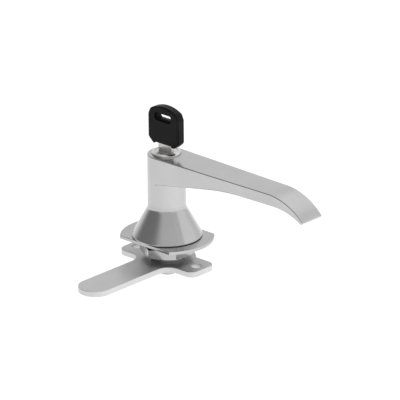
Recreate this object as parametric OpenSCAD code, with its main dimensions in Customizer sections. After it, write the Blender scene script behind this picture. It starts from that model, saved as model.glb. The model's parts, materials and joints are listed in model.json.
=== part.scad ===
// Lever handle cam lock with a key cylinder, for a cabinet door or panel.
// The lock axis is Z and the panel's outer face is the plane Z = 0.
// The lever points along +X and the cam's tongue along -Y. Sizes are in millimetres.

/* [Base plate] */
// Radius of the plate's two round ends
plate_radius = 27; // [25:0.5:32]
// Width of the plate across its two flats
plate_width = 38; // [36.5:0.5:44]
// Thickness of the plate
plate_thickness = 2; // [1.5:0.1:3]
// Thickness of the rubber seal between plate and housing
seal_thickness = 0.4; // [0.3:0.1:1]

/* [Housing] */
// Radius of the cone at its foot
cone_foot_radius = 20.5; // [19.5:0.5:24]
// Lean of the cone's side from the lock axis, in degrees
cone_angle = 28.8; // [27:0.2:32]
// Height of the upright rim round the foot
rim_height = 0.5; // [0.3:0.1:1.2]
// Radius of the hollow curve between cone and collar
collar_fillet = 6; // [2:0.5:8]
// Height of the collar's top above the panel
collar_top = 21.4; // [21:0.1:24]
// Wall of the cone round its hollow foot
cone_wall = 3; // [2.4:0.1:3.6]

/* [Shank and nut] */
// Outside diameter of the threaded shank
shank_diameter = 22; // [21.5:0.5:24]
// Width of the shank across its two flats
shank_flats = 20.5; // [20:0.1:21]
// Space left for the panel between plate and nut
panel_space = 2.5; // [2.2:0.1:4]
// Width of the nut across its flats
nut_width = 28; // [26.5:0.5:32]
// Height of the nut
nut_height = 5.8; // [5:0.1:8]
// Length of shank standing out below the nut
shank_stand_out = 1.9; // [0.6:0.1:2.4]
// Thickness of the thrust washer under the shank
thrust_thickness = 0.6; // [0.4:0.1:1]

/* [Journal and bushes] */
// Diameter of the journal that turns in the housing
journal_diameter = 16; // [15.8:0.1:16.4]
// Wall of the two wrapped bushes
bush_wall = 0.95; // [0.8:0.05:1]
// Length of the upper bush
upper_bush_length = 7.2; // [5:0.1:7.4]
// Length of the lower bush
lower_bush_length = 8; // [6:0.1:8.5]
// Angle the handle swings through, in degrees
handle_swing = 90; // [80:1:90]
// Thickness of the shaft seal's round section
oring_section = 1.7; // [1.5:0.1:1.9]

/* [Lever] */
// Diameter of the hub and neck
neck_diameter = 22; // [21.5:0.5:26]
// Distance from the lock axis to the lever's tip
lever_reach = 111.8; // [100:0.2:140]
// Width of the lever at its tip
tip_width = 16.4; // [13:0.2:19]
// Height of the lever's top above the panel
lever_top = 52; // [51:0.5:58]
// Thickness of the lever's straight stretch
lever_thickness = 7; // [6:0.1:9]
// Length of the tip that bends down
tip_length = 26.8; // [22:0.2:29]
// Radius of the bend on the tip's top
tip_top_radius = 37.5; // [34:0.5:44]
// Length of the bend under the tip
tip_under_length = 21.8; // [19:0.2:24]
// Radius of the bend under the tip
tip_under_radius = 37.5; // [34:0.5:44]
// Distance from the lock axis to the end of the arch under the root
arch_end = 66; // [56:0.5:74]
// Radius of the arch under the root
arch_radius = 150; // [110:1:180]
// Rise of the root under the lever, in degrees
root_angle = 10; // [6:0.5:12]

/* [Spindle and cam] */
// Width of the square spindle
spindle_width = 8; // [7.5:0.1:8.4]
// Thickness of the cam plate
cam_thickness = 3.5; // [2.5:0.1:5]
// Width of the cam's tongue
tongue_width = 20; // [16:0.5:21]
// Distance from the lock axis to the tongue's end
tongue_reach = 69.6; // [50:0.2:85]
// Radius of the cam's round middle
cam_hub_radius = 16.4; // [15:0.2:18]
// Distance from each rod hole to the end of its ear
ear_end = 6.1; // [5.5:0.1:9]
// Width of the rod ears
ear_width = 20; // [18:0.5:24]
// Distance the ears' middle line lies off the lock axis, toward the tongue
ear_shift = 0.6; // [0:0.1:1.5]
// Radius of the ears' corners
ear_corner = 5; // [3:0.5:8]
// Radius of the hollow corners between tongue and ears
cam_fillet = 8.5; // [4:0.5:10]
// Distance between the two rod holes
rod_pitch = 46; // [44:0.5:54]
// Diameter of the rod holes
rod_hole = 6.2; // [5:0.1:7]
// Width across the flats of the cam bolt's head
cam_bolt_width = 10; // [9.5:0.5:12]
// Height of the cam bolt's head
cam_bolt_head = 3.8; // [3.4:0.1:5]

/* [Lock cylinder] */
// Diameter of the cylinder's head
cylinder_head = 16.8; // [16.4:0.1:18]
// Diameter of the cylinder's body
cylinder_body_diameter = 15; // [14.6:0.1:15.4]
// Diameter of the turning plug
plug_diameter = 12; // [11.8:0.1:12.2]
// Height of the cylinder's edge above the lever's top
head_edge = 0.8; // [0.4:0.1:1]
// Height of the bevelled step above that edge
head_bevel = 0.7; // [0.5:0.1:1]
// Number of wafers in the plug
wafer_count = 6; // [4:1:6]
// Distance from one wafer to the next
wafer_pitch = 2.9; // [2.5:0.05:3]
// Thickness of one wafer
wafer_thickness = 1.2; // [1:0.05:1.3]
// Stroke of the locking bolt
bolt_stroke = 2.2; // [2:0.05:2.3]

/* [Key] */
// Width of the key's blade
blade_width = 9; // [8.4:0.1:9.1]
// Thickness of the key's blade
blade_thickness = 2.2; // [1.8:0.1:2.3]
// Length of blade inside the cylinder
blade_length = 22.5; // [20:0.5:23]
// Width of the key's bow
bow_width = 23.4; // [21:0.2:26]
// Height of the key's bow
bow_height = 23.3; // [21.5:0.1:27]
// Thickness of the key's bow
bow_thickness = 5.6; // [4.8:0.1:6.5]
// Radius of the bow's round top
bow_top_radius = 20; // [17:0.5:30]
// Gap between the cylinder's face and the bow's corners
bow_clear = 3.9; // [3.5:0.1:6]

/* [Fits] */
// Radial clearance of turning fits
run_clearance = 0.05; // [0.03:0.01:0.08]
// Clearance round pieces that are fixed together
seat_clearance = 0.02; // [0.01:0.01:0.03]
// Clearance round sliding pieces
slide_clearance = 0.15; // [0.1:0.01:0.2]
// Gap between faces that turn past one another
face_gap = 0.2; // [0.15:0.01:0.3]
// Gap between the handle's neck and the housing's collar
neck_gap = 0.06; // [0.04:0.01:0.2]

/* [Hidden] */
$fa = 3;
$fs = 0.3;
// overshoot of cutting shapes
cut = 1;
// how far the lever's sides lie inside the hub's round
flush_step = 0.03;
// place of the set screw round the hub, in degrees from +Y
set_screw_turn = 45;
// place of a corner of the nut, in degrees from +X
nut_turn = 31;

// radii and half widths
shank_r = shank_diameter / 2;
neck_r = neck_diameter / 2;
journal_r = journal_diameter / 2;
bore_r = journal_r + run_clearance + bush_wall;
head_r = cylinder_head / 2;
body_r = cylinder_body_diameter / 2;
plug_r = plug_diameter / 2;

// heights of the fixed stack
foot_z = plate_thickness + seal_thickness;
shank_z = -(panel_space + nut_height + shank_stand_out);
thrust_z = shank_z - thrust_thickness;
cam_top_z = thrust_z - face_gap;
cam_under_z = cam_top_z - cam_thickness;
washer_thickness = 1.2;
spring_thickness = 1.3;
spring_top_z = cam_under_z - washer_thickness;
bolt_head_z = spring_top_z - spring_thickness;
neck_z = collar_top + neck_gap;

// inner heights of housing and journal
bush_top_z = collar_top - 0.2;
oring_z = bush_top_z - upper_bush_length - 1.4;
stop_low_z = shank_z + lower_bush_length + 0.6;
stop_height = 3.6;
stop_high_z = stop_low_z + stop_height;
slot_low_z = stop_high_z + 2.6;
slot_height = 4;
slot_high_z = slot_low_z + slot_height;
socket_top_z = slot_low_z - 3;
lug_half_angle = 20;
stop_play = 1;

// bolt under the cam, cross pin of the spindle and reach of the cam's ears
cam_bolt_r = 0.3 * cam_bolt_width;
pin_r = 0.19 * spindle_width;
pin_z = cam_top_z + 7;
ear_reach = rod_pitch / 2 + ear_end;

// locking bolt and its pockets
bolt_half_width = 4.5;
bolt_end_r = journal_r - 0.2;
bolt_inner_x = 5;
pocket_r = bolt_end_r + bolt_stroke + 0.6;
crank_r = 1.2;
tail_r = 3.5;
hollow_inner_r = pocket_r + 2.2;
hollow_outer_r = cone_foot_radius - cone_wall;

// rubber seal: half width across its flats, and its narrowest wall there
seal_half_width = plate_width / 2 - 0.2;
seal_wall = 0.9;

// lock cylinder heights
seat_z = lever_top - 1.6;
head_edge_z = lever_top + head_edge;
head_top_z = head_edge_z + head_bevel;
face_z = head_top_z - 0.2;
cylinder_length = 22;
body_low_z = lever_top - cylinder_length;
plug_low_z = body_low_z - 1.8;
tail_flange_z = plug_low_z - 1.2;
hub_bore_z = tail_flange_z - 0.5;
wafer_low_z = body_low_z + 3;
wafer_half_width = 3;

// flat key that joins plug and drive shaft, and the mouth of the plug's clip
drive_key_length = 5;
drive_key_width = 2;
drive_key_height = 2.2;
clip_mouth = 5;

// key heights
shoulder_z = face_z + 0.4;
bow_low_z = face_z + bow_clear;
bow_notch_z = bow_low_z + 0.8;
bow_top_z = bow_low_z + bow_height;
insert_top_z = bow_notch_z + 0.41 * bow_height;
blade_tip_z = face_z - blade_length;
code_step = 0.35;
key_code = [1, 3, 2, 3, 1, 2];

// disc with two flats across Y
module double_d(radius, half_width) {
    intersection() {
        circle(radius);
        square([2 * radius + 2, 2 * half_width], center = true);
    }
}

// rectangle with round corners, about its middle
module round_rect(size, corner) {
    square([size[0] - 2 * corner, size[1]], center = true);
    square([size[0], size[1] - 2 * corner], center = true);
    for (side = [-1, 1], end = [-1, 1])
        translate([side * (size[0] / 2 - corner), end * (size[1] / 2 - corner)])
            circle(corner);
}

// slice of a disc between two angles, less than half a turn
module wedge(radius, from_angle, to_angle) {
    middle = (from_angle + to_angle) / 2;
    far = 3 * radius;
    intersection() {
        circle(radius);
        polygon([
            [0, 0],
            [far * cos(from_angle), far * sin(from_angle)],
            [far * cos(middle), far * sin(middle)],
            [far * cos(to_angle), far * sin(to_angle)]
        ]);
    }
}

// plain ring from z upward
module ring(outer, inner, z, height) {
    translate([0, 0, z])
        difference() {
            cylinder(r = outer, h = height);
            translate([0, 0, -cut])
                cylinder(r = inner, h = height + 2 * cut);
        }
}

// six-sided prism with both rims bevelled
module hex_prism(width, height, turn) {
    corner_r = width / 2 / cos(30);
    bevel = (corner_r - width / 2) * 0.3;
    intersection() {
        rotate(turn)
            cylinder(r = corner_r, h = height, $fn = 6);
        rotate_extrude()
            polygon([
                [0, 0],
                [width / 2, 0],
                [corner_r, bevel],
                [corner_r, height - bevel],
                [width / 2, height],
                [0, height]
            ]);
    }
}

// truncated disc that lies on the panel
module base_plate() {
    color("silver")
        linear_extrude(plate_thickness)
            difference() {
                double_d(plate_radius, plate_width / 2);
                double_d(shank_r + 0.1, shank_flats / 2 + 0.1);
            }
}

// thin rubber ring under the housing's foot
module base_seal() {
    color("dimgray")
        translate([0, 0, plate_thickness])
            linear_extrude(seal_thickness)
                difference() {
                    double_d(cone_foot_radius - 0.6, seal_half_width);
                    double_d(hollow_outer_r + 0.2, seal_half_width - seal_wall);
                }
}

// half section of the cone, its hollow corner and its collar
module cone_section() {
    rim_r = cone_foot_radius - rim_height * tan(cone_angle);
    cone_top = foot_z + (cone_foot_radius - neck_r) / tan(cone_angle);
    centre = [neck_r + collar_fillet, cone_top + collar_fillet * tan(cone_angle / 2)];
    touch = centre - collar_fillet * [cos(cone_angle), sin(cone_angle)];
    intersection() {
        union() {
            polygon([
                [0, foot_z],
                [rim_r, foot_z],
                [rim_r, foot_z + rim_height],
                [neck_r, cone_top],
                [neck_r, collar_top + cut],
                [0, collar_top + cut]
            ]);
            difference() {
                polygon([[neck_r - 0.5, cone_top], touch, centre, [neck_r - 0.5, centre[1]]]);
                translate(centre)
                    circle(collar_fillet);
            }
        }
        translate([0, foot_z])
            square([cone_foot_radius + cut, collar_top - foot_z]);
    }
}

// shank with two flats and a bevelled end
module shank() {
    bevel = 0.8;
    shank_run = foot_z - shank_z + 1.5;
    intersection() {
        translate([0, 0, shank_z])
            rotate_extrude()
                polygon([
                    [0, 0],
                    [shank_r - bevel, 0],
                    [shank_r, bevel],
                    [shank_r, shank_run],
                    [0, shank_run]
                ]);
        translate([0, 0, shank_z - cut])
            linear_extrude(shank_run + 2.5)
                double_d(shank_r + cut, shank_flats / 2);
    }
}

// cone, shank, bore, stop segment and bolt pockets
module housing() {
    pocket_half = bolt_half_width + 0.25;
    stop_from = handle_swing + lug_half_angle + stop_play;
    stop_to = 360 - lug_half_angle - stop_play;
    color("gainsboro")
        union() {
            difference() {
                union() {
                    rotate_extrude()
                        cone_section();
                    shank();
                }
                // through bore
                translate([0, 0, shank_z - cut])
                    cylinder(r = bore_r, h = collar_top - shank_z + 2 * cut);
                // seat of the shaft seal
                translate([0, 0, oring_z - oring_section / 2 - 0.2])
                    cylinder(r = bore_r + oring_section / 2, h = oring_section + 0.4);
                // hollow of the foot
                rotate_extrude()
                    polygon([
                        [hollow_inner_r, foot_z - cut],
                        [hollow_outer_r, foot_z - cut],
                        [hollow_outer_r, foot_z],
                        [hollow_inner_r, foot_z + (hollow_outer_r - hollow_inner_r) / tan(cone_angle)]
                    ]);
                // pockets the locking bolt enters in the two end positions
                for (turn = [0, handle_swing])
                    rotate(turn)
                        intersection() {
                            translate([-pocket_r - cut, -pocket_half, slot_low_z - 0.15])
                                cube([pocket_r + cut, 2 * pocket_half, slot_height + 0.3]);
                            translate([0, 0, slot_low_z - cut])
                                cylinder(r = pocket_r, h = slot_height + 2 * cut);
                        }
            }
            // segment in the bore that stops the handle's lug
            translate([0, 0, stop_low_z])
                linear_extrude(stop_height)
                    difference() {
                        union() {
                            wedge(bore_r + 0.3, stop_from, (stop_from + stop_to) / 2 + 10);
                            wedge(bore_r + 0.3, (stop_from + stop_to) / 2 - 10, stop_to);
                        }
                        circle(journal_r + slide_clearance);
                    }
        }
}

// six-sided nut that clamps the panel
module lock_nut() {
    color("silver")
        translate([0, 0, -panel_space - nut_height])
            difference() {
                hex_prism(nut_width, nut_height, nut_turn);
                translate([0, 0, -cut])
                    cylinder(r = shank_r + seat_clearance, h = nut_height + 2 * cut);
                // lead-in at both ends of the thread
                for (end = [0, 1])
                    translate([0, 0, end * nut_height])
                        mirror([0, 0, end])
                            translate([0, 0, -0.01])
                                cylinder(r1 = shank_r + 0.8, r2 = shank_r, h = 0.8);
            }
}

// wrapped bush with its fine slit
module bush(z, length, turn) {
    difference() {
        ring(bore_r - seat_clearance, journal_r + run_clearance, z, length);
        rotate(turn)
            translate([journal_r - cut, -0.2, z - cut])
                cube([bush_wall + 2 * cut, 0.4, length + 2 * cut]);
    }
}

module upper_bush() {
    color("peru")
        bush(bush_top_z - upper_bush_length, upper_bush_length, 130);
}

module lower_bush() {
    color("peru")
        bush(shank_z, lower_bush_length, 220);
}

// rubber ring round the journal
module shaft_oring() {
    color("black")
        translate([0, 0, oring_z])
            rotate_extrude()
                translate([bore_r - seat_clearance, 0])
                    circle(oring_section / 2);
}

// steel ring between the shank's end and the cam
module thrust_washer() {
    color("silver")
        ring(shank_r - 0.6, journal_r + face_gap, thrust_z, thrust_thickness);
}

// side view of the lever, measured from its top face
module lever_side() {
    bend_x = lever_reach - tip_length;
    tip_angle = asin(tip_length / tip_top_radius);
    under_x = lever_reach - tip_under_length;
    arch_x = arch_end - arch_radius * sin(root_angle);
    arch_z = -lever_thickness - arch_radius * (1 - cos(root_angle));
    deep = 60;
    lap = 4;
    difference() {
        union() {
            translate([-neck_r, -25])
                square([bend_x + neck_r, 25]);
            translate([bend_x, -tip_top_radius])
                wedge(tip_top_radius, 90 - tip_angle, 90);
        }
        // straight rise under the root
        polygon([
            [-neck_r - cut, arch_z - (arch_x + neck_r + cut) * tan(root_angle)],
            [arch_x, arch_z],
            [arch_x, -deep],
            [-neck_r - cut, -deep]
        ]);
        // arch that eases into the straight stretch
        intersection() {
            translate([arch_end, -lever_thickness - arch_radius])
                circle(arch_radius);
            translate([arch_x - lap, -deep])
                square([arch_end - arch_x + 2 * lap, deep]);
        }
        translate([arch_end, -deep])
            square([under_x - arch_end, deep - lever_thickness]);
        // bend under the tip
        intersection() {
            translate([under_x, -lever_thickness - tip_under_radius])
                circle(tip_under_radius);
            translate([under_x - lap, -deep])
                square([tip_under_length + 20, deep]);
        }
    }
}

// plan of the lever, with sides that run off the hub and taper to the tip
module lever_plan() {
    half_tip = tip_width / 2;
    side_r = neck_r - flush_step;
    lean = asin(side_r / norm([lever_reach, half_tip])) - atan2(half_tip, lever_reach);
    half_root = side_r / cos(lean);
    half_end = half_tip - cut * tan(lean);
    polygon([
        [0, half_root],
        [lever_reach + cut, half_end],
        [lever_reach + cut, -half_end],
        [0, -half_root]
    ]);
}

// lever, hub, neck and journal in one casting
module handle() {
    color("gainsboro")
        difference() {
            union() {
                intersection() {
                    translate([0, 0, lever_top - 25])
                        linear_extrude(25)
                            lever_plan();
                    translate([0, neck_r + cut, lever_top])
                        rotate([90, 0, 0])
                            linear_extrude(2 * neck_r + 2 * cut)
                                lever_side();
                }
                translate([0, 0, neck_z])
                    cylinder(r = neck_r, h = lever_top - neck_z);
                translate([0, 0, cam_top_z])
                    cylinder(r = journal_r, h = neck_z - cam_top_z + cut);
                // lug that meets the stop segment
                translate([0, 0, stop_low_z + 0.2])
                    linear_extrude(stop_height - 0.4)
                        wedge(bore_r - slide_clearance, -lug_half_angle, lug_half_angle);
            }
            // bore for the lock cylinder
            translate([0, 0, seat_z])
                cylinder(r = head_r + 0.1, h = lever_top - seat_z + cut);
            translate([0, 0, hub_bore_z])
                cylinder(r = body_r + seat_clearance, h = lever_top - hub_bore_z);
            // bore for the drive shaft
            translate([0, 0, slot_high_z - cut])
                cylinder(r = tail_r + 0.2, h = hub_bore_z - slot_high_z + 2 * cut);
            // cross slot for the locking bolt
            translate([-journal_r - cut, -bolt_half_width - 0.1, slot_low_z])
                cube([journal_r + cut + bolt_inner_x + 0.3, 2 * bolt_half_width + 0.2, slot_height]);
            // square socket for the spindle
            translate([0, 0, (cam_top_z + socket_top_z) / 2 - cut / 2])
                cube([spindle_width + 2 * seat_clearance, spindle_width + 2 * seat_clearance,
                    socket_top_z - cam_top_z + cut], center = true);
            // cross hole for the spindle's pin
            translate([0, 0, pin_z])
                rotate([90, 0, 0])
                    cylinder(r = pin_r + seat_clearance, h = 2 * journal_r + 2 * cut, center = true);
            // threaded hole for the set screw, at the back of the hub
            rotate(set_screw_turn)
                translate([0, neck_r + cut, lever_top - 8])
                    rotate([90, 0, 0])
                        cylinder(r = 2 + seat_clearance, h = neck_r - body_r + 2 * cut);
        }
}

// square bar that carries the cam
module spindle() {
    bar_low_z = cam_under_z + 0.2;
    bar_length = socket_top_z - 0.1 - bar_low_z;
    color("lightgray")
        difference() {
            intersection() {
                translate([0, 0, bar_low_z + bar_length / 2])
                    cube([spindle_width, spindle_width, bar_length], center = true);
                translate([0, 0, bar_low_z])
                    cylinder(r = spindle_width * 0.66, h = bar_length);
            }
            translate([0, 0, bar_low_z - cut])
                cylinder(r = cam_bolt_r + seat_clearance, h = cam_top_z + 5 - bar_low_z + cut);
            translate([0, 0, pin_z])
                rotate([90, 0, 0])
                    cylinder(r = pin_r + seat_clearance, h = 2 * spindle_width, center = true);
        }
}

// cross pin through journal and spindle
module spindle_pin() {
    color("silver")
        translate([0, 0, pin_z])
            rotate([90, 0, 0])
                cylinder(r = pin_r, h = 2 * journal_r - 0.8, center = true);
}

// outline of the cam with its round middle, its tongue and two ears
module cam_outline() {
    half = tongue_width / 2;
    ear_low = ear_shift + ear_width / 2;
    difference() {
        union() {
            circle(cam_hub_radius);
            translate([0, -ear_shift])
                round_rect([2 * ear_reach, ear_width], ear_corner);
            translate([-half, half - tongue_reach])
                square([tongue_width, tongue_reach - half]);
            translate([0, half - tongue_reach])
                circle(half);
            for (side = [-1, 1])
                scale_side(side)
                    translate([half - 0.5, -ear_low - cam_fillet])
                        difference() {
                            square([cam_fillet + 0.5, cam_fillet + 0.5]);
                            translate([cam_fillet + 0.5, 0])
                                circle(cam_fillet);
                        }
        }
        for (side = [-1, 1])
            translate([side * rod_pitch / 2, -ear_shift])
                circle(rod_hole / 2);
        square(spindle_width + 0.1, center = true);
    }
}

// copy on the right, or mirrored on the left
module scale_side(side) {
    if (side > 0)
        children();
    else
        mirror([1, 0])
            children();
}

// flat steel cam
module cam() {
    color("lightgray")
        translate([0, 0, cam_under_z])
            linear_extrude(cam_thickness)
                cam_outline();
}

module cam_washer() {
    color("silver")
        ring(0.7 * cam_bolt_width, cam_bolt_r + 0.2, spring_top_z, washer_thickness);
}

// split ring, cut on a slant
module spring_washer() {
    color("gray")
        difference() {
            ring(cam_bolt_r + 2.4, cam_bolt_r + 0.1, bolt_head_z, spring_thickness);
            translate([cam_bolt_r + 1.3, 0, bolt_head_z + spring_thickness / 2])
                rotate([30, 0, 0])
                    cube([4, 0.5, 4], center = true);
        }
}

// six-sided bolt that holds the cam on the spindle
module cam_bolt() {
    color("silver")
        union() {
            translate([0, 0, bolt_head_z - cam_bolt_head])
                hex_prism(cam_bolt_width, cam_bolt_head, 13);
            translate([0, 0, bolt_head_z - cut])
                cylinder(r = cam_bolt_r, h = cam_top_z + 4 - bolt_head_z + cut);
        }
}

// fixed outer part of the lock cylinder
module cylinder_body() {
    color("lightgray")
        difference() {
            rotate_extrude()
                polygon([
                    [0, body_low_z],
                    [body_r, body_low_z],
                    [body_r, seat_z],
                    [head_r, seat_z],
                    [head_r, head_edge_z],
                    [head_r - 1.2, head_top_z],
                    [0, head_top_z]
                ]);
            translate([0, 0, body_low_z - cut])
                cylinder(r = plug_r + run_clearance, h = head_top_z - body_low_z + 2 * cut);
            // seat of the plug's flange
            translate([0, 0, face_z - 1])
                cylinder(r = plug_r + 0.6 + run_clearance, h = 1 + cut);
            // channels the wafers enter when the key is out
            translate([0, 0, (wafer_low_z + seat_z) / 2 - 1])
                cube([2 * body_r - 1, 2 * wafer_half_width + 0.4, seat_z - wafer_low_z], center = true);
            // dimple for the set screw
            rotate(set_screw_turn)
                translate([0, body_r + cut, lever_top - 8])
                    rotate([90, 0, 0])
                        cylinder(r = 2 + seat_clearance, h = cut + 0.5);
        }
}

// headless screw that holds the cylinder in the hub
module cylinder_set_screw() {
    color("dimgray")
        rotate(set_screw_turn)
            translate([0, neck_r - 0.5, lever_top - 8])
                rotate([90, 0, 0])
                    difference() {
                        cylinder(r = 2, h = neck_r - body_r);
                        translate([0, 0, -cut])
                            cylinder(r = 1.15, h = 1.5 + cut, $fn = 6);
                    }
}

// turning plug with keyway, wafer slots and clip groove
module plug() {
    color("khaki")
        difference() {
            union() {
                translate([0, 0, plug_low_z])
                    cylinder(r = plug_r, h = face_z - plug_low_z);
                translate([0, 0, face_z - 1])
                    cylinder(r = plug_r + 0.6, h = 1);
            }
            // keyway
            translate([0, 0, (blade_tip_z - 0.5 + face_z + cut) / 2])
                cube([blade_width + 0.5, blade_thickness + 0.3, face_z + cut - blade_tip_z + 0.5],
                    center = true);
            // slots for the wafers, with a small post left for each spring
            for (i = [0 : wafer_count - 1])
                translate([0, 0, wafer_low_z + i * wafer_pitch])
                    difference() {
                        cube([2 * plug_r + cut, 2 * wafer_half_width + 0.2, wafer_thickness + 0.1],
                            center = true);
                        translate([1.6, 1.9, -1])
                            cube([0.8, 2, 2]);
                    }
            // groove for the clip
            ring(plug_r + cut, plug_r - 0.8, plug_low_z + 0.6, 0.8);
            // end slot that drives the shaft
            translate([0, 0, plug_low_z])
                cube([drive_key_length + 0.2, drive_key_width + 0.1, drive_key_height + 0.2],
                    center = true);
        }
}

// spring clip under the cylinder body
module plug_clip() {
    color("gray")
        difference() {
            ring(plug_r + 1, plug_r - 0.8 + seat_clearance, plug_low_z + 0.65, 0.7);
            translate([plug_r - cut, 0, plug_low_z])
                cube([clip_mouth, clip_mouth, clip_mouth], center = true);
        }
}

// one wafer with the window the blade passes through
module wafer() {
    linear_extrude(wafer_thickness, center = true)
        difference() {
            intersection() {
                circle(plug_r - 0.1);
                square([2 * plug_r, 2 * wafer_half_width], center = true);
            }
            square([blade_width + 0.3, blade_thickness + 0.4], center = true);
            translate([-1.5, 1.7])
                square([4.4, 2]);
        }
}

module wafers() {
    color("goldenrod")
        for (i = [0 : wafer_count - 1])
            translate([0, 0, wafer_low_z + i * wafer_pitch])
                wafer();
}

// small close-wound springs that push the wafers
module wafer_springs() {
    coils = 5;
    coil_pitch = 0.58;
    hollow_r = 0.17 * wafer_thickness;
    inner_r = 0.3 * wafer_thickness;
    outer_r = 0.46 * wafer_thickness;
    color("gray")
        for (i = [0 : wafer_count - 1])
            translate([-1.46, 2.35, wafer_low_z + i * wafer_pitch])
                rotate([0, 90, 0])
                    rotate_extrude()
                        polygon(concat(
                            [[hollow_r, coils * coil_pitch], [hollow_r, 0]],
                            [for (turn = [0 : coils - 1], half = [0, 1])
                                [half == 0 ? inner_r : outer_r, (turn + half / 2) * coil_pitch]],
                            [[inner_r, coils * coil_pitch]]
                        ));
}

// shaft from the plug to the crank that moves the bolt
module drive_shaft() {
    color("silver")
        union() {
            translate([0, 0, tail_flange_z])
                cylinder(r = plug_r - 0.8, h = plug_low_z - tail_flange_z);
            translate([0, 0, plug_low_z])
                cube([drive_key_length, drive_key_width, drive_key_height], center = true);
            translate([0, 0, slot_high_z + 0.2])
                cylinder(r = tail_r, h = tail_flange_z - slot_high_z);
            translate([0, bolt_stroke, slot_low_z + 0.4])
                cylinder(r = crank_r, h = slot_height);
        }
}

// locking bolt with a window for the crank pin
module lock_bolt() {
    color("lightgray")
        difference() {
            intersection() {
                translate([-journal_r - cut, -bolt_half_width, slot_low_z + 0.1])
                    cube([journal_r + cut + bolt_inner_x, 2 * bolt_half_width, slot_height - 0.2]);
                translate([0, 0, slot_low_z - cut])
                    cylinder(r = bolt_end_r, h = slot_height + 2 * cut);
            }
            translate([-1.9, -1.4, slot_low_z - cut])
                cube([3.3, bolt_stroke + crank_r + 1.6, slot_height + 2 * cut]);
        }
}

// side view of the blade with its cuts, its shoulder and the part held in the bow
module blade_side() {
    half = blade_width / 2;
    difference() {
        polygon([
            [1, blade_tip_z],
            [half, blade_tip_z + 2.5],
            [half, shoulder_z],
            [half + 0.7, shoulder_z],
            [half + 0.7, shoulder_z + 1.5],
            [half, bow_notch_z],
            [half - 0.6, bow_notch_z],
            [half - 0.6, insert_top_z],
            [0.6 - half, insert_top_z],
            [0.6 - half, bow_notch_z],
            [-half - 0.7, bow_notch_z],
            [-half - 0.7, shoulder_z],
            [-half, shoulder_z],
            [-half, blade_tip_z + 2.5],
            [-1, blade_tip_z]
        ]);
        for (i = [0 : wafer_count - 1], side = [-1, 1])
            translate([side * half, wafer_low_z + i * wafer_pitch])
                polygon([
                    [side * 0.3, 1.3],
                    [-side * key_code[i] * code_step, 0.4],
                    [-side * key_code[i] * code_step, -0.4],
                    [side * 0.3, -1.3]
                ]);
    }
}

// metal part of the key
module key_blade() {
    groove_length = shoulder_z - blade_tip_z;
    color("silver")
        difference() {
            translate([0, blade_thickness / 2, 0])
                rotate([90, 0, 0])
                    linear_extrude(blade_thickness)
                        blade_side();
            // long groove in each face
            for (side = [-1, 1])
                translate([side * 1.2, side * blade_thickness / 2, blade_tip_z - cut])
                    translate([-0.6, -0.5, 0])
                        cube([1.2, 1, groove_length]);
        }
}

// outline of the bow
module bow_outline() {
    half = bow_width / 2;
    corner_in = 4.5;
    corner_up = 10.2;
    side_top = bow_top_z - bow_top_radius + sqrt(pow(bow_top_radius, 2) - pow(half, 2)) - 2.4;
    intersection() {
        translate([0, bow_top_z - bow_top_radius])
            circle(bow_top_radius);
        polygon([
            [-half, side_top],
            [-half, bow_low_z + 3],
            [-half + 3.4, bow_low_z],
            [-half + 5, bow_low_z],
            [-half + 5.8, bow_notch_z],
            [half - 5.8, bow_notch_z],
            [half - 5, bow_low_z],
            [half - 3.4, bow_low_z],
            [half, bow_low_z + 3],
            [half, side_top],
            [half - corner_in, side_top + corner_up],
            [corner_in - half, side_top + corner_up]
        ]);
    }
}

// plastic bow moulded round the blade's end
module key_bow() {
    ring_z = bow_top_z - 6.4;
    color("black")
        difference() {
            translate([0, bow_thickness / 2, 0])
                rotate([90, 0, 0])
                    linear_extrude(bow_thickness)
                        difference() {
                            bow_outline();
                            translate([0, ring_z])
                                round_rect([9.6, 2.5], 1.2);
                        }
            // shallow field round the ring slot on both faces
            for (side = [-1, 1])
                translate([0, side * bow_thickness / 2, ring_z])
                    rotate([90, 0, 0])
                        translate([0, 0, -1.3])
                            linear_extrude(2.6)
                                round_rect([13, 5], 2.2);
            // pocket for the blade's end
            translate([0, 0, (bow_low_z - cut + insert_top_z) / 2])
                cube([blade_width - 1.2 + 2 * seat_clearance, blade_thickness + 2 * seat_clearance,
                    insert_top_z - bow_low_z + cut], center = true);
        }
}

base_plate();
base_seal();
housing();
lock_nut();
upper_bush();
lower_bush();
shaft_oring();
thrust_washer();
handle();
spindle();
spindle_pin();
cam();
cam_washer();
spring_washer();
cam_bolt();
cylinder_body();
cylinder_set_screw();
plug();
plug_clip();
wafers();
wafer_springs();
drive_shaft();
lock_bolt();
key_blade();
key_bow();
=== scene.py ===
"""Looks of a lever handle cam lock with a key cylinder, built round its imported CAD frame."""

import json
import math

import bmesh
import bpy
from mathutils import Matrix, Vector


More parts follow.
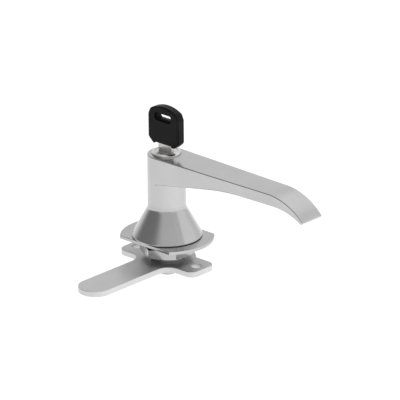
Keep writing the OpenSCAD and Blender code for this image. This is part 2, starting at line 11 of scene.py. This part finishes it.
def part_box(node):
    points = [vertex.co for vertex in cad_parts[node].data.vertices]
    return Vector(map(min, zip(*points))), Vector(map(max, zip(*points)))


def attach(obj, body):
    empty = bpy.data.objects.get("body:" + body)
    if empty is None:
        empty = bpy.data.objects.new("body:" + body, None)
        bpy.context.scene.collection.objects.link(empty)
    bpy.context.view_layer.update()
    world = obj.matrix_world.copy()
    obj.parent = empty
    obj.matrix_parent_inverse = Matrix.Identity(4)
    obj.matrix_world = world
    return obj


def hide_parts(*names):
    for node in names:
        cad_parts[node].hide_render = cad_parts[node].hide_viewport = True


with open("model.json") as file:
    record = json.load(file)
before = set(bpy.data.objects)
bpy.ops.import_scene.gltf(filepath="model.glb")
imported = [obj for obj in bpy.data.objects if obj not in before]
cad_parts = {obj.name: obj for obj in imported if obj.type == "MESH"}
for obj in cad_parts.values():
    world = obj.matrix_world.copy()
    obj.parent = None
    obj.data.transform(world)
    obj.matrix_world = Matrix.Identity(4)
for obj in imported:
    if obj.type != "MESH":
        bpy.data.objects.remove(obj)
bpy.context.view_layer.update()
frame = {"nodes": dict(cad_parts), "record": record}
nodes = frame["nodes"]
record = frame["record"]
slots = {part["node"]: part["material_slot"] for part in record["subparts"]}
bodies = {node: body for body, members in record["behaviour"]["bodies"].items() for node in members}
rod_holes = next(mount for mount in record["mounts"] if mount["name"] == "rod_holes")

MM = 0.001

# how the CAD meshes are cleaned before their edges are rounded: the welding distance, and the angles
# in degrees up to which faces are one flat face and over which an edge is sharp
WELD = 0.001 * MM
FLAT_ANGLE = 0.3
SHARP_ANGLE = 18.0

# widths of the edge rounds, in millimetres
LEVER_ROUND = 0.65
FINE_ROUND = 0.12
PLATE_ROUND = 0.3
NUT_ROUND = 0.25
CAM_ROUND = 0.4
HOLE_ROUND = 0.2
HEAD_ROUND = 0.14
KEY_ROUND = 0.1
BOW_ROUND = 1.0
BOW_DETAIL_ROUND = 0.3
BOLT_ROUND = 0.2
# steps in a round, with more of them where the widest round of a piece is over the limit
ROUND_STEPS = 3
WIDE_ROUND_STEPS = 4
WIDE_ROUND = 0.5

# margins in millimetres by which an edge is told from its neighbours: outside the bore of the lock
# cylinder, the lever's rim round it, the handle's neck, the shank and the plate's hole, inside the
# cylinder's head, over the housing's collar, and below the lever's top in the bore and on the neck
PAST_BORE = 0.2
PAST_RIM = 0.6
PAST_NECK = 0.3
PAST_SHANK = 1.0
PAST_PLATE_HOLE = 3.0
INSIDE_HEAD = 1.0
OVER_COLLAR = 0.5
BORE_DEPTH = 0.5
LEVER_DEPTH = 2.0

# places on the small pieces, in millimetres: half sizes of the bow's blade pocket and of the field
# round its ring slot, that slot's depth below the bow's top, the height of the bow's notch, a radius
# that takes in the rim of a rod hole, one that leaves out the inner edges of the cam bolt, half the
# height of the bolt's head, and how near the middle of a hexagon's height its upright edges have theirs
POCKET_HALF = (4.3, 1.4)
FIELD_HALF = (7.0, 3.0)
RING_BELOW_TOP = 6.4
NOTCH_HEIGHT = 1.0
ROD_HOLE_REACH = 4.0
BOLT_HEAD_INSIDE = 4.3
BOLT_HEAD_HALF = 1.9
UPRIGHT_REACH = 0.3

# the part of a noise's values that is stretched over a whole range of tone or gloss
NOISE_RANGE = (0.3, 0.7)
# scale of a metal's cloud, and its share of the tone
CLOUD_SCALE = 60.0
CLOUD_SHARE = 0.04

# screw thread on the housing's shank
THREAD_PITCH = 1.5 * MM
THREAD_RADIUS = 10.85 * MM
THREAD_STRENGTH = 0.7

# painted highlight: how much brighter the cam's upright edges are painted than its face, and the squared
# upright parts of the normal between which a face passes from edge to top
SIDE_HIGHLIGHT_GAIN = 1.25
SIDE_HIGHLIGHT_FADE = (0.1, 0.8)

# the photograph's viewpoint, with angles in degrees
CAMERA_AZIMUTH = 43.0
CAMERA_ELEVATION = 21.6
CAMERA_ROLL = -0.5
CAMERA_LENS = 630.0
CAMERA_SENSOR = 36.0
CAMERA_DISTANCE = 4000 * MM
CAMERA_CLIP = (0.05, 50)
AIM_HEIGHT = 2 * MM
AIM_RIGHT = 18.9 * MM
AIM_UP = 19.5 * MM

# the floor lies well under the lock, which hangs on a panel
FLOOR_Z = -150 * MM
FLOOR_SIZE = 12.0
FLOOR_GREY = 0.9
# share of the floor's look that is plain light, and the strength of that light
FLOOR_GLOW_SHARE = 0.7
FLOOR_GLOW = 1.16

# soft lamps: place and aim in metres along the camera's right, towards it on the level, and up, then
# the size in metres and the power in watts
LAMPS = {
    "lamp_top": ((0.1, -0.1, 1.1), (0, 0, 0.02), (1.0, 1.0), 5.0),
    "lamp_right": ((1.0, 0.3, 0.7), (0, 0, 0.02), (0.7, 0.9), 3.0),
    "lamp_front": ((0.3, 0.38, 0.5), (0.3, 0.38, 0.0), (0.5, 0.5), 3.0),
}

# brightness of the studio, and its walls that are darker or brighter: the direction of each wall along
# the same three axes, the cosines where it begins and where it is full, and its share of the brightness
STUDIO_LEVEL = 0.83
WALLS = (
    ((-0.95, 0.1, 0.45), 0.55, 0.93, 0.26),
    ((0.0, 0.8, 0.58), 0.6, 0.95, 0.78),
    ((0.93, 0.05, 0.33), 0.82, 0.97, 1.17),
    ((0.345, -0.607, 0.715), 0.92, 0.99, 1.22),
)


def view_axes(azimuth, elevation):
    """Right, up and backward directions of a camera at these angles in degrees."""
    a, e = math.radians(azimuth), math.radians(elevation)
    right = Vector((math.cos(a), math.sin(a), 0))
    back = Vector((math.sin(a) * math.cos(e), -math.cos(a) * math.cos(e), math.sin(e)))
    return right, back.cross(right), back


RIGHT, UP, BACK = view_axes(CAMERA_AZIMUTH, CAMERA_ELEVATION)
LEVEL_BACK = Vector((BACK.x, BACK.y, 0)).normalized()


def studio_place(right, back, up):
    """A point given along the camera's right, towards the camera on the level, and up."""
    return RIGHT * right + LEVEL_BACK * back + Vector((0, 0, up))


def make_camera():
    """A long lens far away, which sees the lock almost without perspective."""
    data = bpy.data.cameras.new("camera")
    data.lens = CAMERA_LENS
    data.sensor_width = CAMERA_SENSOR
    data.clip_start, data.clip_end = CAMERA_CLIP
    camera = bpy.data.objects.new("camera", data)
    bpy.context.scene.collection.objects.link(camera)
    aim = Vector((0, 0, AIM_HEIGHT)) + RIGHT * AIM_RIGHT + UP * AIM_UP
    turn = Matrix((RIGHT, UP, BACK)).transposed().to_4x4()
    roll = Matrix.Rotation(math.radians(CAMERA_ROLL), 4, "Z")
    camera.matrix_world = Matrix.Translation(aim + BACK * CAMERA_DISTANCE) @ turn @ roll
    bpy.context.scene.camera = camera


class Graph:
    """Short ways to add nodes to a node tree."""

    def __init__(self, tree):
        self.tree = tree

    def add(self, kind, **inputs):
        """A new node with some of its inputs set."""
        node = self.tree.nodes.new(kind)
        for key, value in inputs.items():
            node.inputs[key.replace("_", " ")].default_value = value
        return node

    def link(self, source, target):
        """Joins an output socket to an input socket."""
        self.tree.links.new(source, target)

    def math(self, operation, first, second):
        """One sum on two values, each a socket or a number."""
        node = self.add("ShaderNodeMath")
        node.operation = operation
        for source, target in zip((first, second), node.inputs):
            if isinstance(source, float):
                target.default_value = source
            else:
                self.link(source, target)
        return node.outputs["Value"]

    def spread(self, value, low, high, given=NOISE_RANGE, soft=False):
        """Maps a value from its given range to low..high."""
        start, end = given
        span = self.add("ShaderNodeMapRange", From_Min=start, From_Max=end, To_Min=low, To_Max=high)
        if soft:
            span.interpolation_type = "SMOOTHSTEP"
        self.link(value, span.inputs["Value"])
        return span.outputs["Result"]


class Shader(Graph):
    """Short ways to build a material."""

    def __init__(self, material):
        material.use_nodes = True
        super().__init__(material.node_tree)
        self.material = material
        self.bsdf = self.tree.nodes["Principled BSDF"]

    def set(self, **inputs):
        """Sets inputs of the material's surface."""
        for key, value in inputs.items():
            self.bsdf.inputs[key.replace("_", " ")].default_value = value

    def place(self, stretch=(1, 1, 1)):
        """Object coordinates, stretched along the axes."""
        where = self.add("ShaderNodeTexCoord")
        mapping = self.add("ShaderNodeMapping", Scale=stretch)
        self.link(where.outputs["Object"], mapping.inputs["Vector"])
        return mapping.outputs["Vector"]

    def noise(self, scale, detail=4.0, stretch=(1, 1, 1)):
        """A cloudy value over the object, or a grain where it is stretched."""
        texture = self.add("ShaderNodeTexNoise", Scale=scale, Detail=detail)
        self.link(self.place(stretch), texture.inputs["Vector"])
        return texture.outputs["Fac"]

    def tint(self, value, dark, light):
        """Sets the surface's colour between dark and light by a value."""
        ramp = self.add("ShaderNodeValToRGB")
        for element, position, colour in zip(ramp.color_ramp.elements, NOISE_RANGE, (dark, light)):
            element.position = position
            element.color = (*colour, 1)
        self.link(value, ramp.inputs["Fac"])
        self.link(ramp.outputs["Color"], self.bsdf.inputs["Base Color"])

    def gloss(self, value, rough, share):
        """Lets a value vary the roughness by a share up and down."""
        level = self.spread(value, rough * (1 - share), rough * (1 + share))
        self.link(level, self.bsdf.inputs["Roughness"])

    def bump(self, value, height, strength):
        """Adds relief on top of any that is there."""
        bump = self.add("ShaderNodeBump", Strength=strength, Distance=height)
        self.link(value, bump.inputs["Height"])
        for old in self.bsdf.inputs["Normal"].links:
            self.link(old.from_socket, bump.inputs["Normal"])
        self.link(bump.outputs["Normal"], self.bsdf.inputs["Normal"])


def grey(level, warm=0.0):
    """A neutral colour, a little warmer where asked."""
    return (level * (1 + warm), level, level * (1 - warm))


def metal(name, level, rough, grain=700.0, stretch=(1, 1, 1), height=2e-6, warm=0.0, matt=0.0):
    """Metal with a soft cloud of tone and a fine grain in gloss and surface, partly matt where asked."""
    shader = Shader(bpy.data.materials.new(name))
    shader.set(Metallic=1.0 - matt)
    dark, light = (grey(level * (1 + side * CLOUD_SHARE), warm) for side in (-1, 1))
    shader.tint(shader.noise(CLOUD_SCALE), dark, light)
    fine = shader.noise(grain, detail=6.0, stretch=stretch)
    shader.gloss(fine, rough, share=0.15)
    shader.bump(fine, height, strength=0.1)
    return shader.material


def coloured_metal(name, dark, light, rough):
    """Brass or bronze with a little tarnish."""
    shader = Shader(bpy.data.materials.new(name))
    shader.set(Metallic=1.0)
    cloud = shader.noise(scale=300.0)
    shader.tint(cloud, dark, light)
    shader.gloss(cloud, rough, share=0.2)
    shader.bump(shader.noise(scale=3000.0), height=3e-6, strength=0.4)
    return shader.material


def moulded(name, dark, light, rough, shine=0.5):
    """Plastic or rubber with a fine moulded grain."""
    shader = Shader(bpy.data.materials.new(name))
    shader.set(Specular_IOR_Level=shine)
    shader.tint(shader.noise(scale=140.0), grey(dark), grey(light))
    fine = shader.noise(scale=2600.0, detail=3.0)
    shader.gloss(fine, rough, share=0.15)
    shader.bump(fine, height=1.2e-5, strength=0.25)
    return shader.material


def brighten_sides(material, gain):
    """Paints the upright faces of a flat plate brighter than its top, a painted highlight standing in for
    light on the edges.
    """
    shader = Shader(material)
    colour = shader.bsdf.inputs["Base Color"]
    where = shader.add("ShaderNodeTexCoord")
    split = shader.add("ShaderNodeSeparateXYZ")
    shader.link(where.outputs["Normal"], split.inputs["Vector"])
    flatness = shader.math("MULTIPLY", split.outputs["Z"], split.outputs["Z"])
    tone = shader.add("ShaderNodeVectorMath")
    tone.operation = "SCALE"
    shader.link(colour.links[0].from_socket, tone.inputs[0])
    # painted highlight: the colour is raised where the face turns upright
    shader.link(shader.spread(flatness, gain, 1.0, SIDE_HIGHLIGHT_FADE), tone.inputs["Scale"])
    shader.link(tone.outputs["Vector"], colour)


def cut_thread(material):
    """Adds the ridges of a screw thread, on the round of a shank along Z under the plate."""
    shader = Shader(material)
    place = shader.place()
    split = shader.add("ShaderNodeSeparateXYZ")
    shader.link(place, split.inputs["Vector"])
    turn = shader.add("ShaderNodeTexGradient")
    turn.gradient_type = "RADIAL"
    shader.link(place, turn.inputs["Vector"])
    level = shader.add("ShaderNodeCombineXYZ")
    for axis in "XY":
        shader.link(split.outputs[axis], level.inputs[axis])
    reach = shader.add("ShaderNodeVectorMath")
    reach.operation = "LENGTH"
    shader.link(level.outputs["Vector"], reach.inputs[0])
    rise = shader.math("DIVIDE", split.outputs["Z"], THREAD_PITCH)
    ridge = shader.math("PINGPONG", shader.math("ADD", rise, turn.outputs["Fac"]), 0.5)
    below = shader.math("LESS_THAN", split.outputs["Z"], 0.0)
    outside = shader.math("GREATER_THAN", reach.outputs["Value"], THREAD_RADIUS)
    ridge = shader.math("MULTIPLY", ridge, shader.math("MULTIPLY", below, outside))
    shader.bump(ridge, THREAD_PITCH, THREAD_STRENGTH)


def make_materials():
    """One material for each slot of the record, and the shank's threaded one."""
    along_y, along_z = (60, 1.5, 60), (60, 60, 1.5)
    materials = {
        "satin_zinc": metal("satin_zinc", level=0.535, rough=0.2, matt=0.05),
        "plated_steel": metal("plated_steel", level=0.48, rough=0.18, grain=900.0, matt=0.08),
        "cam_steel": metal(
            "cam_steel", level=0.495, rough=0.32, grain=14.0, stretch=along_y, height=4e-7, matt=0.2
        ),
        "bright_steel": metal("bright_steel", level=0.6, rough=0.3),
        "spring_steel": metal("spring_steel", level=0.22, rough=0.4),
        "nickel": metal("nickel", level=0.68, rough=0.2, warm=0.02),
        "key_steel": metal(
            "key_steel", level=0.64, rough=0.25, grain=40.0, stretch=along_z, warm=0.02, matt=0.35
        ),
        "brass": coloured_metal("brass", dark=(0.55, 0.36, 0.1), light=(0.72, 0.5, 0.18), rough=0.3),
        "bronze": coloured_metal("bronze", dark=(0.4, 0.22, 0.09), light=(0.52, 0.3, 0.14), rough=0.4),
        "rubber": moulded("rubber", dark=0.012, light=0.02, rough=0.75),
        "black_plastic": moulded("black_plastic", dark=0.003, light=0.006, rough=0.4, shine=0.12),
    }
    # painted highlight: the cam's upright edges are painted brighter than its top
    brighten_sides(materials[slots["cam"]], SIDE_HIGHLIGHT_GAIN)
    threaded = materials[slots["housing"]].copy()
    threaded.name = "satin_zinc_threaded"
    cut_thread(threaded)
    return materials, threaded


def dress_nodes(materials):
    """Gives every CAD node the material of its slot in the record."""
    for name, slot in slots.items():
        mesh = nodes[name].data
        mesh.materials.clear()
        mesh.materials.append(materials[slot])


def edge_widths():
    """For each node to soften, the rule that gives an edge's round by its x, y, z and radius in mm."""
    bow_low, bow_high = (corner[2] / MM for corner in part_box("key_bow"))
    ring_z = bow_high - RING_BELOW_TOP
    plate_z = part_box("base_plate")[1][2] / MM
    collar_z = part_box("housing")[1][2] / MM
    lever_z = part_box("handle")[1][2] / MM
    nut_z = sum(corner[2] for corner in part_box("lock_nut")) / 2 / MM
    bolt_head_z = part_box("cam_bolt")[0][2] / MM + BOLT_HEAD_HALF
    neck_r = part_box("handle")[1][1] / MM
    head_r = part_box("cylinder_body")[1][0] / MM
    hole_x = rod_holes["dims"]["spacing_x_mm"] / 2
    hole_y = rod_holes["pos_m"][1] / MM

    def handle(x, y, z, r):
        in_bore = r < head_r + PAST_BORE and z < lever_z - BORE_DEPTH
        on_neck = r < neck_r + PAST_NECK and z < lever_z - LEVER_DEPTH
        if z < collar_z + OVER_COLLAR or in_bore or on_neck:
            return 0
        return FINE_ROUND if r < head_r + PAST_RIM else LEVER_ROUND

    def housing(x, y, z, r):
        return FINE_ROUND if r > neck_r + PAST_SHANK and z > plate_z else 0

    def base_plate(x, y, z, r):
        return PLATE_ROUND if r > neck_r + PAST_PLATE_HOLE else 0

    def lock_nut(x, y, z, r):
        upright = abs(z - nut_z) < UPRIGHT_REACH
        return NUT_ROUND if r > neck_r + PAST_SHANK and upright else 0

    def cam(x, y, z, r):
        if r < head_r:
            return 0
        return HOLE_ROUND if math.hypot(abs(x) - hole_x, y - hole_y) < ROD_HOLE_REACH else CAM_ROUND

    def cylinder_body(x, y, z, r):
        return HEAD_ROUND if z > lever_z and r > head_r - INSIDE_HEAD else 0

    def plug(x, y, z, r):
        return KEY_ROUND if z > lever_z else 0

    def key_blade(x, y, z, r):
        return KEY_ROUND

    def key_bow(x, y, z, r):
        if abs(x) < POCKET_HALF[0] and abs(y) < POCKET_HALF[1]:
            return 0
        in_field = abs(x) < FIELD_HALF[0] and abs(z - ring_z) < FIELD_HALF[1]
        return BOW_DETAIL_ROUND if in_field or z < bow_low + NOTCH_HEIGHT else BOW_ROUND

    def cam_bolt(x, y, z, r):
        upright = abs(z - bolt_head_z) < UPRIGHT_REACH
        return BOLT_ROUND if r > BOLT_HEAD_INSIDE and upright else 0

    rules = (handle, housing, base_plate, lock_nut, cam, cylinder_body, plug, key_blade, key_bow, cam_bolt)
    return {rule.__name__: rule for rule in rules}


def cleaned_mesh(name, width_at):
    """A copy of a node's mesh in clean faces, with the width of the round for each of its edges."""
    shape = bmesh.new()
    shape.from_mesh(nodes[name].data)
    bmesh.ops.remove_doubles(shape, verts=shape.verts, dist=WELD)
    bmesh.ops.dissolve_limit(
        shape, angle_limit=math.radians(FLAT_ANGLE), verts=shape.verts, edges=shape.edges
    )
    widths = []
    for edge in shape.edges:
        width = 0
        if len(edge.link_faces) == 2 and edge.calc_face_angle() > math.radians(SHARP_ANGLE):
            middle = (edge.verts[0].co + edge.verts[1].co) / 2 / MM
            width = width_at(*middle, math.hypot(middle.x, middle.y))
            edge.smooth = width > 0
        widths.append(width)
    for face in shape.faces:
        face.smooth = True
    mesh = bpy.data.meshes.new(name + "_soft")
    shape.to_mesh(mesh)
    shape.free()
    return mesh, widths


def soften(name, width_at, material):
    """Puts a copy with rounded edges in a node's place."""
    mesh, widths = cleaned_mesh(name, width_at)
    widest = max(widths)
    weights = mesh.attributes.new("bevel_weight_edge", "FLOAT", "EDGE")
    weights.data.foreach_set("value", [width / widest for width in widths])
    mesh.materials.append(material)
    piece = bpy.data.objects.new(name + "_soft", mesh)
    bpy.context.scene.collection.objects.link(piece)
    rounds = piece.modifiers.new("rounds", "BEVEL")
    rounds.limit_method = "WEIGHT"
    rounds.width = widest * MM
    rounds.segments = WIDE_ROUND_STEPS if widest > WIDE_ROUND else ROUND_STEPS
    rounds.use_clamp_overlap = False
    normals = piece.modifiers.new("normals", "WEIGHTED_NORMAL")
    normals.keep_sharp = True
    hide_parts(name)
    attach(piece, bodies[name])


def make_lamps():
    """Large soft lamps, kept out of the metal's reflections."""
    for name, (place, aim, size, power) in LAMPS.items():
        data = bpy.data.lights.new(name, "AREA")
        data.shape = "RECTANGLE"
        data.size, data.size_y = size
        data.energy = power
        lamp = bpy.data.objects.new(name, data)
        lamp.location = studio_place(*place)
        toward = studio_place(*aim) - lamp.location
        lamp.rotation_euler = toward.to_track_quat("-Z", "Y").to_euler()
        lamp.visible_glossy = False
        bpy.context.scene.collection.objects.link(lamp)


def make_world():
    """A pale studio, dark on the left, dimmer behind the camera, brighter right and high at the back."""
    world = bpy.data.worlds.new("studio")
    bpy.context.scene.world = world
    world.use_nodes = True
    graph = Graph(world.node_tree)
    where = graph.add("ShaderNodeTexCoord")
    level = None
    for toward, start, full, share in WALLS:
        side = graph.add("ShaderNodeVectorMath")
        side.operation = "DOT_PRODUCT"
        side.inputs[1].default_value = studio_place(*toward).normalized()
        graph.link(where.outputs["Generated"], side.inputs[0])
        wall = graph.spread(side.outputs["Value"], 1.0, share, (start, full), soft=True)
        level = graph.math("MULTIPLY", level, wall) if level else wall
    background = graph.tree.nodes["Background"]
    background.inputs["Color"].default_value = (*grey(STUDIO_LEVEL), 1)
    graph.link(level, background.inputs["Strength"])


def make_floor():
    """A plain pale floor that stays white in view and keeps a soft shadow."""
    bpy.ops.mesh.primitive_plane_add(size=FLOOR_SIZE, location=(0, 0, FLOOR_Z))
    floor = bpy.context.object
    floor.name = "floor"
    shader = Shader(bpy.data.materials.new("floor_white"))
    shader.set(Base_Color=(*grey(FLOOR_GREY), 1), Roughness=0.9)
    rays = shader.add("ShaderNodeLightPath")
    seen = rays.outputs["Is Camera Ray"]
    for kind in ("Is Glossy Ray", "Is Transmission Ray"):
        seen = shader.math("MAXIMUM", seen, rays.outputs[kind])
    glow = shader.add("ShaderNodeEmission", Strength=FLOOR_GLOW)
    blend = shader.add("ShaderNodeMixShader")
    shader.link(shader.math("MULTIPLY", seen, FLOOR_GLOW_SHARE), blend.inputs["Fac"])
    shader.link(shader.bsdf.outputs["BSDF"], blend.inputs[1])
    shader.link(glow.outputs["Emission"], blend.inputs[2])
    shader.link(blend.outputs["Shader"], shader.tree.nodes["Material Output"].inputs["Surface"])
    floor.data.materials.append(shader.material)


bpy.context.scene.view_settings.view_transform = "Standard"
make_camera()
slot_materials, threaded_zinc = make_materials()
dress_nodes(slot_materials)
for node_name, rule in edge_widths().items():
    own_material = threaded_zinc if node_name == "housing" else slot_materials[slots[node_name]]
    soften(node_name, rule, own_material)
make_lamps()
make_world()
make_floor()
